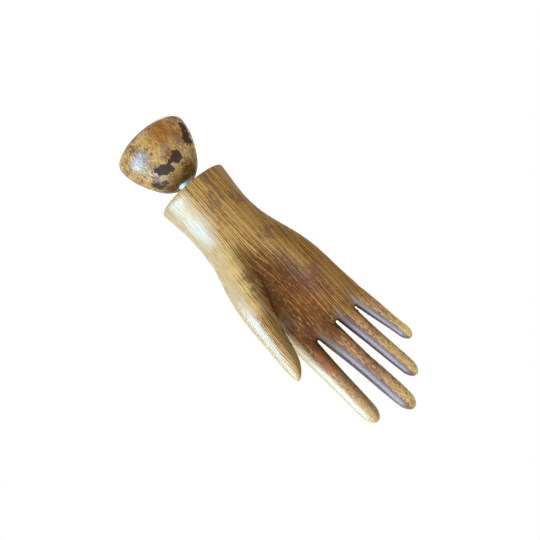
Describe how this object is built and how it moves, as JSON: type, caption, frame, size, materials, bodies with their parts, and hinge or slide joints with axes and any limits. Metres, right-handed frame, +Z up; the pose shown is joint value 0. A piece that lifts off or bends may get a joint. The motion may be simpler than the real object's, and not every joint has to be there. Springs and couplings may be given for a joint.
{
  "type": "display hand",
  "caption": "Life-size carved wooden right hand, standing on a turned half-egg base by a ball-jointed wrist that turns and tilts, for showing gloves and rings.",
  "frame": {"origin": "centre of the underside of the felt, on the axis of the stud", "axes": "+Z up along the stud to the fingertips; the palm faces -Y; the thumb is on the +X side"},
  "size_m": [0.0952, 0.0716, 0.3006],
  "materials": {
    "hand_wood": "grained brown lacquer, glossy and worn",
    "base_wood": "brown lacquer, glossy and chipped",
    "neck_steel": "turned",
    "joint_brass": "turned",
    "fixing_steel": "plain",
    "ballast_iron": "as cast",
    "felt": "pressed felt"
  },
  "bodies": {
    "base": {"dome_base": "base_wood", "neck_collar": "neck_steel", "ballast_disc": "ballast_iron", "base_felt": "felt"},
    "stud": {"ball_stud": "neck_steel", "clamp_washer": "fixing_steel", "disc_spring": "fixing_steel", "lock_nut": "fixing_steel"},
    "cup": {"friction_cup": "joint_brass"},
    "hand": {"carved_hand": "hand_wood", "retaining_plate": "joint_brass", "plate_screws": "fixing_steel"}
  },
  "joints": [
    {"name": "base_swivel", "type": "hinge", "parent": "base", "child": "stud", "pos_m": [0, 0, 0.0624], "axis": [0, 0, 1], "continuous": true},
    {"name": "wrist_tilt", "type": "hinge", "parent": "stud", "child": "cup", "pos_m": [0, 0, 0.0624], "axis": [1, 0, 0], "range_deg": [-20, 20]},
    {"name": "wrist_lean", "type": "hinge", "parent": "cup", "child": "hand", "pos_m": [0, 0, 0.0624], "axis": [0, 1, 0], "range_deg": [-18, 18]}
  ]
}
